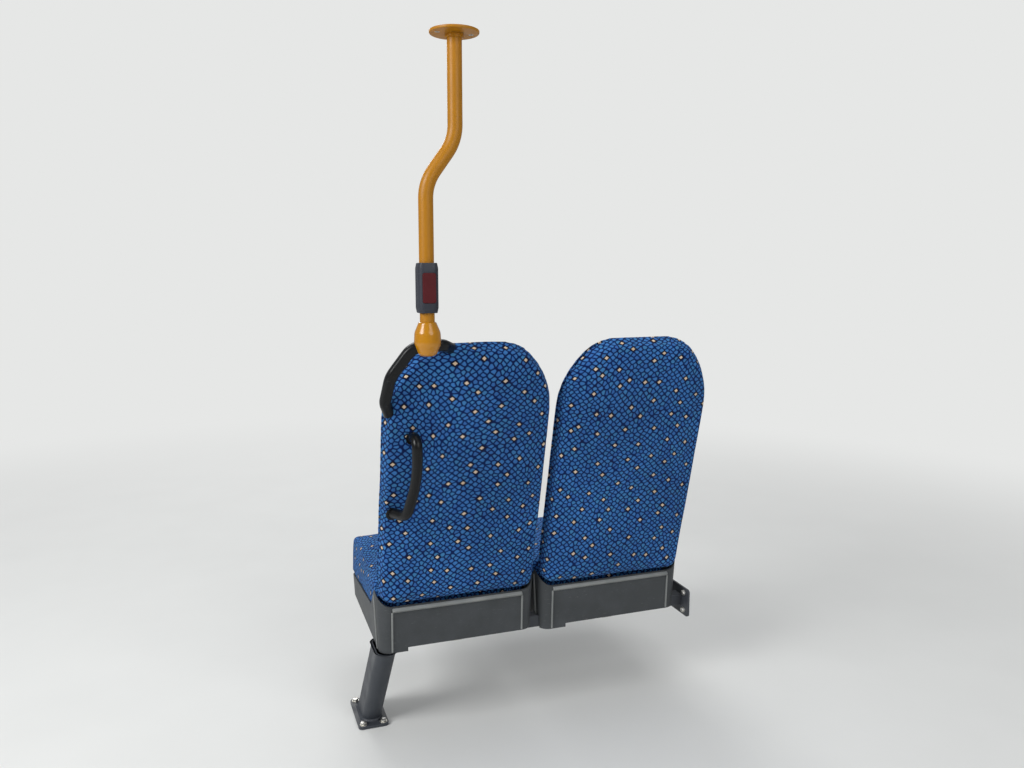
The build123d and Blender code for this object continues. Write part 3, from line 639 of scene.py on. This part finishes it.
class SEAT_OT_materials(bpy.types.Operator):
    """Makes every finish of the seat"""

    bl_idname = "bus_seat.materials"
    bl_label = "Finishes"

    def execute(self, context):
        hard = seat_settings().hardware
        woven_moquette()
        moulded_plastic("grained_polypropylene", hard.tray[:], 0.9 * MM, 0.52, linear("#4A4D50"), 0.10)
        # Lip and ridges: the tray's plastic painted much paler, a painted highlight for the light they
        # catch; its scuffs and scratches are real wear
        moulded_plastic("polypropylene_edge_scuffs_and_painted_highlight", linear("#7A7D7C"), 0.9 * MM, 0.48, linear("#909290"),
                        0.20)
        moulded_plastic("satin_polyamide_handle", hard.handle[:], 0.6 * MM, 0.30, linear("#131415"), 0.06)
        moulded_plastic("abs_housing", hard.housing[:], 0.6 * MM, 0.42, linear("#3A3D46"), 0.08)
        moulded_plastic("rubber_button_pad", hard.button[:], 0.5 * MM, 0.42, linear("#561018"), 0.0)
        moulded_plastic("black_polyethylene_cap", linear("#151617"), 0.7 * MM, 0.55, linear("#242526"), 0.1)
        powder_coat("yellow_powder_coat", hard.pole[:], 1.8 * MM, 0.42, linear("#98660C"), 0.0)
        powder_coat("amber_enamel_casting", hard.coupling[:], 3.0 * MM, 0.24, linear("#A26A04"), 0.5)
        powder_coat("blue_grey_powder_coat", hard.leg[:], 1.6 * MM, 0.46, linear("#50545A"), 0.0)
        powder_coat("dark_powder_coat", hard.beam[:], 1.6 * MM, 0.50, linear("#5B5E62"), 0.0)
        zinc_plated_steel()
        birch_plywood()
        return {"FINISHED"}


class SEAT_OT_back_covers(bpy.types.Operator):
    """Makes the upholstered rear shell of each back"""

    bl_idname = "bus_seat.back_covers"
    bl_label = "Back covers"

    def execute(self, context):
        size = seat_settings().padding
        window_x = seat_centre("window")

        def held(point):
            return back_place(window_x, point)[2] < -COVER_DEPTH + 0.010

        def cap_at(point):
            across = back_place(window_x, point)[0]
            crown = cos(0.5 * pi * min(1, abs(across) / BACK_HALF)) ** 0.5
            return size.cover_cap * (0.45 + 0.55 * crown)

        def finish_piece(piece, seat, number):
            centre_x = seat_centre(seat)
            if seat == "aisle":
                # Both feet of the rear handle, and the lower foot of the top handle
                into = back_point(0, 0, 0, 0) - back_point(0, 0, 0, 1)
                upper = back_point(centre_x, -0.150, BACK_HEIGHT - 0.233, 0.0)
                lower = back_point(centre_x, -0.193, BACK_HEIGHT - 0.440, 0.0)
                beside = back_point(centre_x, -0.207, BACK_HEIGHT - 0.176, -0.018)
                press_in(piece, [
                    (upper, 0.050, into * 0.004),
                    (lower, 0.050, into * 0.004),
                    (beside, 0.045, Vector((0.004, 0, 0))),
                ])
            rumple(piece, 1.2 * MM, 0.11, 3.1 + 5.7 * number)

            def local(point):
                across, up, out = back_place(centre_x, point)
                return across, up, -out

            lay_cloth(piece, local, (-0.15, 0.15, 0.06, 0.55), 0.018, 0.75, (1.3 * number, 0.37 * number))

        pad_pieces("back_cover", size.shrink, 3, held, cap_at, finish_piece)
        return {"FINISHED"}


class SEAT_OT_back_pads(bpy.types.Operator):
    """Makes the front pad of each back"""

    bl_idname = "bus_seat.back_pads"
    bl_label = "Back pads"

    def execute(self, context):
        size = seat_settings().padding
        window_x = seat_centre("window")

        def held(point):
            return back_place(window_x, point)[2] > -COVER_DEPTH - 0.008

        def cap_at(point):
            return size.pad_cap

        def finish_piece(piece, seat, number):
            centre_x = seat_centre(seat)
            rumple(piece, 1.5 * MM, 0.10, 9.1 + 4.3 * number)

            def local(point):
                across, up, out = back_place(centre_x, point)
                return across, up, COVER_DEPTH + PAD_DEPTH + out

            lay_cloth(piece, local, (-0.15, 0.15, 0.06, 0.55), 0.014, 1.0, (0.7 + 1.1 * number, 2.0))

        pad_pieces("back_pad", 0.003, 2, held, cap_at, finish_piece)
        return {"FINISHED"}


class SEAT_OT_cushions(bpy.types.Operator):
    """Makes the seat cushions"""

    bl_idname = "bus_seat.cushions"
    bl_label = "Seat cushions"

    def execute(self, context):
        size = seat_settings().padding
        low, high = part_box("cushion_window")
        middle = (low + high) / 2
        half_x = (high.x - low.x) / 2

        # The base board holds the foot of the cushion, and the back holds its rear
        def held(point):
            return point.z < low.z + 0.035 or point.y < low.y + 0.012

        def cap_at(point):
            rise = min(1.0, max(0.0, (point.z - low.z - 0.03) / 0.08))
            crown = 0.35 + 0.65 * cos(0.5 * pi * min(1, abs(point.x - middle.x) / half_x)) ** 0.6
            return size.cushion_cap * rise * crown

        def finish_piece(piece, seat, number):
            centre_x = seat_centre(seat)
            rumple(piece, 2.0 * MM, 0.12, 1.7 + 6.1 * number)

            def local(point):
                return point.x - centre_x, point.y, high.z - 0.003 - point.z

            lay_cloth(piece, local, (-0.17, 0.17, 0.0, 0.27), 0.026, 1.0, (0.4 + 1.7 * number, 3.1))

        pad_pieces("cushion", size.shrink, 3, held, cap_at, finish_piece)
        return {"FINISHED"}


class SEAT_OT_trays(bpy.types.Operator):
    """Dresses the moulded trays under the cushions and adds their ribs, and a lip and ridges painted paler
    as a painted highlight
    """

    bl_idname = "bus_seat.trays"
    bl_label = "Trays"

    def execute(self, context):
        hard = seat_settings().hardware
        plastic = bpy.data.materials["grained_polypropylene"]
        for seat in SEATS:
            softened(f"tray_shell_{seat}", f"tray_{seat}", hard.moulded_edge, plastic)
            dress(f"tray_pan_{seat}", plastic)
            dress(f"base_board_{seat}", bpy.data.materials["birch_plywood"])
            self.ribs(seat, plastic)
            self.trim(seat)
            for place in ("rear", "front"):
                dress(f"beam_clamp_{seat}_{place}", bpy.data.materials["zinc_plated_steel"])
        return {"FINISHED"}

    def ribs(self, seat, plastic):
        """Ribs along the underside of the tray's floor, clear of the beams and their clamps."""
        low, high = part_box(f"tray_pan_{seat}")
        rear_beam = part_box(f"beam_clamp_{seat}_rear")
        front_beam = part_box(f"beam_clamp_{seat}_front")
        bays = [(low.y + 0.010, rear_beam[0].y - 0.003), (rear_beam[1].y + 0.003, front_beam[0].y - 0.003),
                (front_beam[1].y + 0.003, high.y - 0.010)]
        centre_x = (low.x + high.x) / 2
        deep = 16 * MM
        middle_z = low.z - deep / 2
        bm = bmesh.new()
        for across in (-0.130, -0.045, 0.045, 0.130):
            spot_x = centre_x + across
            for start, end in bays:
                rib = bmesh.ops.create_cube(bm, size=1.0)["verts"]
                bmesh.ops.scale(bm, verts=rib, vec=(2.6 * MM, end - start, deep))
                bmesh.ops.translate(bm, verts=rib, vec=(spot_x, (start + end) / 2, middle_z))
                lower = [v for v in rib if v.co.z < middle_z]
                bmesh.ops.scale(bm, verts=lower, vec=(0.6, 1, 1), space=Matrix.Translation((-spot_x, 0, 0)))
        round_edges(bm, [e for e in bm.edges if e.calc_face_angle() > 1], 0.5 * MM)
        finish_mesh(bm, f"tray_ribs_{seat}", plastic)

    def trim(self, seat):
        """Lip under the back and upright ridges beside the rear corners, painted much paler than the tray
        as a painted highlight for the light they catch, with a few real scratches.
        """
        rear_y, top_z = BACK_FOOT
        centre_x = seat_centre(seat)
        draft = atan(TRAY_LEAN)
        bm = bmesh.new()
        lip = Matrix.Translation((centre_x, rear_y + 3.5 * MM, top_z - 8.5 * MM))
        add_rounded_bar(bm, (364, 10, 10), 1.8, lip @ Matrix.Rotation(pi / 4, 4, "X"))
        for side, foot_z in TRAY_FOOT_Z:
            tall, middle_z, lean = self.upright(foot_z, 0.366)
            behind = Matrix.Translation((centre_x + side * 0.183, TRAY_REAR_Y + lean, middle_z))
            add_rounded_bar(bm, (5.0, 8.0, tall), 1.8, behind @ Matrix.Rotation(draft, 4, "X"))
            tall, middle_z, lean = self.upright(foot_z, 0.405)
            beside = Matrix.Translation((centre_x + side * (TRAY_HALF - lean), -0.127, middle_z))
            add_rounded_bar(bm, (8.0, 5.0, tall), 1.8, beside @ Matrix.Rotation(side * draft, 4, "Y"))
        finish_mesh(bm, f"tray_trim_{seat}", bpy.data.materials["polypropylene_edge_scuffs_and_painted_highlight"],
                    sharp=50.0)

    def upright(self, foot_z, head_z):
        """A ridge's length in mm, its middle's height, and how far in it lies there, half sunk."""
        middle_z = (foot_z + head_z) / 2
        return (head_z - foot_z) / MM, middle_z, TRAY_LEAN * (TRAY_RIM_Z - middle_z) + 0.5 * MM


class SEAT_OT_frame(bpy.types.Operator):
    """Dresses leg, beams and bracket and adds their welds and bolts"""

    bl_idname = "bus_seat.frame"
    bl_label = "Pedestal and beams"

    def execute(self, context):
        hard = seat_settings().hardware
        leg_paint = bpy.data.materials["blue_grey_powder_coat"]
        beam_paint = bpy.data.materials["dark_powder_coat"]
        zinc = bpy.data.materials["zinc_plated_steel"]
        dress("pedestal_leg", leg_paint)
        softened("foot_plate", "floor_plate", hard.pressed_edge, leg_paint)
        softened("leg_head", "pedestal_head", hard.pressed_edge, leg_paint)
        softened("wall_plate", "wall_bracket", hard.pressed_edge, beam_paint)
        for place in ("rear", "front"):
            dress(f"{place}_beam", beam_paint)
            softened(f"{place}_beam_end", f"{place}_beam_cap", hard.pressed_edge,
                     bpy.data.materials["black_polyethylene_cap"])
        self.welds(leg_paint)
        self.bolts(zinc)
        return {"FINISHED"}

    def welds(self, paint):
        """Painted fillet welds round the leg's foot and head."""
        plate_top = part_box("floor_plate")[1].z
        leg_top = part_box("pedestal_leg")[1].z
        foot = Vector((0, 0, plate_top))
        head = Vector((*LEG_HEAD, leg_top))
        lean = Vector((*LEG_HEAD, 0)) / (leg_top - plate_top)
        around, beads = 120, 30
        bm = bmesh.new()
        for place, way in ((foot, 1), (head, -1)):
            rings = []
            for reach, rise in ((-0.4, 6.0), (1.6, 4.6), (3.6, 2.6), (5.4, -0.4)):
                ring = bmesh.ops.create_circle(bm, segments=around, radius=LEG_RADIUS + reach * MM)["verts"]
                for side in (1, -1):
                    half = [v for v in ring if v.co.y * side > 0]
                    bmesh.ops.translate(bm, verts=half, vec=(0, side * LEG_STRAIGHT, 0))
                for number, vertex in enumerate(ring):
                    ripple = 1 + 0.10 * sin(number * 2 * pi * beads / around)
                    vertex.co.z = way * rise * MM * ripple
                    vertex.co += lean * vertex.co.z
                bmesh.ops.translate(bm, verts=ring, vec=place)
                rings.append(list({e for v in ring for e in v.link_edges}))
            for inner, outer in zip(rings, rings[1:]):
                bmesh.ops.bridge_loops(bm, edges=inner + outer)
            bmesh.ops.bridge_loops(bm, edges=rings[0] + rings[-1])
        finish_mesh(bm, "leg_welds", paint, sharp=60.0)

    def bolts(self, zinc):
        """Hexagon bolts with washers in floor plate and wall bracket, and the clamps' screws."""
        bm = bmesh.new()
        plate_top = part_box("floor_plate")[1].z
        wall_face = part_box("wall_bracket")[0].x
        wall_y, wall_z = WALL_MIDDLE
        for one in (-1, 1):
            for other in (-1, 1):
                floor_hole = (one * FLOOR_HOLES[0], other * FLOOR_HOLES[1], plate_top)
                add_hex_bolt(bm, turned_to(floor_hole, (0, 0, 1)), 10 * MM)
                wall_hole = (wall_face, wall_y + one * WALL_HOLES[0], wall_z + other * WALL_HOLES[1])
                add_hex_bolt(bm, turned_to(wall_hole, (-1, 0, 0)), 8 * MM)
        for seat in SEATS:
            for place in ("rear", "front"):
                low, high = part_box(f"beam_clamp_{seat}_{place}")
                for y in (low.y + 8 * MM, high.y - 8 * MM):
                    spot = ((low.x + high.x) / 2, y, high.z - 2 * MM)
                    add_hex_bolt(bm, turned_to(spot, (0, 0, -1)), 5 * MM)
        finish_mesh(bm, "frame_bolts", zinc, sharp=35.0)


def add_rounded_bar(bm, size, radius, place):
    """A bar of a size in mm with all its edges rounded, set at a place."""
    bar = bmesh.ops.create_cube(bm, size=MM)["verts"]
    bmesh.ops.scale(bm, verts=bar, vec=size)
    new = round_edges(bm, list({e for v in bar for e in v.link_edges}), radius * MM, segments=4)
    verts = {v for v in bar if v.is_valid} | set(new["verts"])
    bmesh.ops.transform(bm, verts=list(verts), matrix=place)


def add_hex_bolt(bm, place, thread):
    """A washer and a hexagon head for a thread, seated at a place with its head along Z."""
    washer = bmesh.ops.create_cone(bm, cap_ends=True, segments=40, radius1=1.05 * thread,
                                   radius2=1.0 * thread, depth=0.16 * thread)["verts"]
    bmesh.ops.translate(bm, verts=washer, vec=(0, 0, 0.08 * thread))
    head = bmesh.ops.create_cone(bm, cap_ends=True, segments=6, radius1=0.92 * thread,
                                 radius2=0.92 * thread, depth=0.62 * thread)["verts"]
    bmesh.ops.translate(bm, verts=head, vec=(0, 0, 0.47 * thread))
    top_z = 0.78 * thread
    rim = {e for v in head for e in v.link_edges if all(abs(w.co.z - top_z) < MERGE for w in e.verts)}
    new = round_edges(bm, list(rim), 0.09 * thread)
    verts = set(washer) | {v for v in head if v.is_valid} | set(new["verts"])
    bmesh.ops.transform(bm, verts=list(verts), matrix=place)


class SEAT_OT_handles(bpy.types.Operator):
    """Dresses both grab handles"""

    bl_idname = "bus_seat.handles"
    bl_label = "Grab handles"

    def execute(self, context):
        for node in ("top_handle", "rear_handle"):
            dress(node, bpy.data.materials["satin_polyamide_handle"])
        return {"FINISHED"}


class SEAT_OT_pole(bpy.types.Operator):
    """Dresses the grab pole with its coupling, flange and push button"""

    bl_idname = "bus_seat.pole"
    bl_label = "Grab pole"

    def execute(self, context):
        hard = seat_settings().hardware
        yellow = bpy.data.materials["yellow_powder_coat"]
        dress("pole_tube", yellow)
        dress("pole_coupling", bpy.data.materials["amber_enamel_casting"])
        softened("ceiling_plate", "ceiling_flange", hard.pressed_edge, yellow)
        for half in ("front", "rear"):
            softened(f"button_shell_{half}", f"button_housing_{half}", 0.8 * MM,
                     bpy.data.materials["abs_housing"])
        softened("button_face", "button_pad", 0.5 * MM, bpy.data.materials["rubber_button_pad"])
        self.screws(bpy.data.materials["zinc_plated_steel"])
        return {"FINISHED"}

    def screws(self, zinc):
        """Countersunk hexagon socket screws of the ceiling flange."""
        low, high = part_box("ceiling_flange")
        centre = (low + high) / 2
        bm = bmesh.new()
        for side in (-1, 1):
            head = bmesh.ops.create_cone(bm, cap_ends=True, segments=36, radius1=6.4 * MM, radius2=3.1 * MM,
                                         depth=3.0 * MM)
            faces = [f for f in bm.faces if f.verts[0] in head["verts"]]
            face = min(faces, key=lambda f: f.calc_center_median().z)
            bmesh.ops.inset_individual(bm, faces=[face], thickness=3.4 * MM)
            pulled = bmesh.ops.extrude_face_region(bm, geom=[face])
            bmesh.ops.delete(bm, geom=[face], context="FACES_ONLY")
            deep = [g for g in pulled["geom"] if isinstance(g, bmesh.types.BMVert)]
            bmesh.ops.translate(bm, verts=deep, vec=(0, 0, 1.8 * MM))
            everything = {v for v in bm.verts if abs(v.co.x) < 0.02 and abs(v.co.z) < 0.01}
            # The flange is 6 mm thick, and the head's middle lies 2.2 mm above its underside
            spot = (centre.x + side * CEILING_HOLES, centre.y, high.z - 6 * MM + 2.2 * MM)
            bmesh.ops.translate(bm, verts=list(everything), vec=spot)
        finish_mesh(bm, "flange_screws", zinc, sharp=35.0)


class SEAT_OT_stage(bpy.types.Operator):
    """Sets up floor, light and camera"""

    bl_idname = "bus_seat.stage"
    bl_label = "Stage"

    def execute(self, context):
        stage = seat_settings().stage
        scene = context.scene
        scene.view_settings.view_transform = "Standard"
        self.floor(stage)
        self.world(scene, stage)
        for settings in LAMPS:
            self.lamp(*settings)
        self.camera(scene, stage)
        return {"FINISHED"}

    def floor(self, stage):
        """A wide pale floor with a faint mottle."""
        bm = bmesh.new()
        bmesh.ops.create_grid(bm, x_segments=8, y_segments=8, size=14.0)
        mesh = bpy.data.meshes.new("studio_floor")
        bm.to_mesh(mesh)
        bm.free()
        piece = bpy.data.objects.new("studio_floor", mesh)
        bpy.context.collection.objects.link(piece)
        material, tree, shader = new_material("matt_studio_floor")
        place = add_node(tree, "ShaderNodeTexCoord")
        mottle = add_node(tree, "ShaderNodeTexNoise", {"Vector": (place, "Object"), "Scale": 3.0,
                                                       "Detail": 3.0})
        tint = add_node(tree, "ShaderNodeMix", {0: (mottle, "Fac"), MIX_A: stage.floor[:],
                                                MIX_B: linear("#DFE0DE")}, data_type="RGBA")
        tree.links.new(tint.outputs[MIX_OUT], shader.inputs["Base Color"])
        shader.inputs["Roughness"].default_value = 0.85
        shader.inputs["Specular IOR Level"].default_value = 0.2
        away = add_node(tree, "ShaderNodeVectorMath", {0: (place, "Object")}, operation="LENGTH")
        rays = add_node(tree, "ShaderNodeLightPath")
        fading = add_node(tree, "ShaderNodeMapRange", {"Value": (away, "Value"), "From Min": 1.6,
                                                       "From Max": 5.0}, interpolation_type="SMOOTHSTEP")
        shown = add_node(tree, "ShaderNodeMath", {0: (fading, "Result"), 1: (rays, "Is Camera Ray")},
                         operation="MULTIPLY")
        pale = add_node(tree, "ShaderNodeEmission", {"Color": stage.backdrop[:], "Strength": 1.0})
        blended = add_node(tree, "ShaderNodeMixShader", {0: (shown, "Value"), 1: (shader, "BSDF"),
                                                         2: (pale, "Emission")})
        tree.links.new(blended.outputs["Shader"], tree.nodes["Material Output"].inputs["Surface"])
        mesh.materials.append(material)

    def world(self, scene, stage):
        """Even pale light, and the backdrop where the camera looks past the floor."""
        world = bpy.data.worlds.new("studio")
        world.use_nodes = True
        tree = world.node_tree
        tree.nodes.clear()
        rays = add_node(tree, "ShaderNodeLightPath")
        light = add_node(tree, "ShaderNodeBackground", {"Color": linear("#F4F6FA"),
                                                        "Strength": stage.ambient})
        shown = add_node(tree, "ShaderNodeBackground", {"Color": stage.backdrop[:], "Strength": 1.0})
        mixed = add_node(tree, "ShaderNodeMixShader", {0: (rays, "Is Camera Ray"), 1: (light, "Background"),
                                                       2: (shown, "Background")})
        add_node(tree, "ShaderNodeOutputWorld", {"Surface": (mixed, "Shader")})
        scene.world = world

    def lamp(self, name, place, target, width, watts):
        light = bpy.data.lights.new(name, "AREA")
        light.shape = "DISK"
        light.size = width
        light.energy = watts
        lamp = bpy.data.objects.new(name, light)
        lamp.location = place
        lamp.rotation_euler = (Vector(target) - Vector(place)).to_track_quat("-Z", "Y").to_euler()
        bpy.context.collection.objects.link(lamp)

    def camera(self, scene, stage):
        """Stands behind the seat and across the aisle."""
        data = bpy.data.cameras.new("photo_view")
        data.lens = stage.lens
        camera = bpy.data.objects.new("photo_view", data)
        camera.location = PHOTO_EYE
        way = Vector(PHOTO_AIM) - Vector(PHOTO_EYE)
        camera.rotation_euler = way.to_track_quat("-Z", "Y").to_euler()
        bpy.context.collection.objects.link(camera)
        scene.camera = camera


class SEAT_PT_panel(bpy.types.Panel):
    """Lists the seat's pieces in the sidebar"""

    bl_idname = "SEAT_PT_panel"
    bl_label = "Bus seat"
    bl_space_type = "VIEW_3D"
    bl_region_type = "UI"
    bl_category = "Bus seat"

    def draw(self, context):
        for operator in OPERATORS:
            self.layout.operator(operator.bl_idname)
        for group in ("moquette", "padding", "hardware", "stage"):
            settings = getattr(context.scene.bus_seat, group)
            box = self.layout.box()
            box.label(text=group.capitalize())
            for name in settings.__annotations__:
                box.prop(settings, name)


class SeatSettings(bpy.types.PropertyGroup):
    """All that a user would change."""

    moquette: bpy.props.PointerProperty(type=MoquetteSettings)
    padding: bpy.props.PointerProperty(type=PaddingSettings)
    hardware: bpy.props.PointerProperty(type=HardwareSettings)
    stage: bpy.props.PointerProperty(type=StageSettings)


OPERATORS = (
    SEAT_OT_materials,
    SEAT_OT_back_covers,
    SEAT_OT_back_pads,
    SEAT_OT_cushions,
    SEAT_OT_trays,
    SEAT_OT_frame,
    SEAT_OT_handles,
    SEAT_OT_pole,
    SEAT_OT_stage,
)
CLASSES = (MoquetteSettings, PaddingSettings, HardwareSettings, StageSettings, SeatSettings,
           *OPERATORS, SEAT_PT_panel)


def register():
    for made in CLASSES:
        bpy.utils.register_class(made)
    bpy.types.Scene.bus_seat = bpy.props.PointerProperty(type=SeatSettings)


def unregister():
    del bpy.types.Scene.bus_seat
    for made in reversed(CLASSES):
        bpy.utils.unregister_class(made)


def main():
    register()
    for operator in OPERATORS:
        group, name = operator.bl_idname.split(".")
        getattr(getattr(bpy.ops, group), name)()


if __name__ == "__main__":
    main()
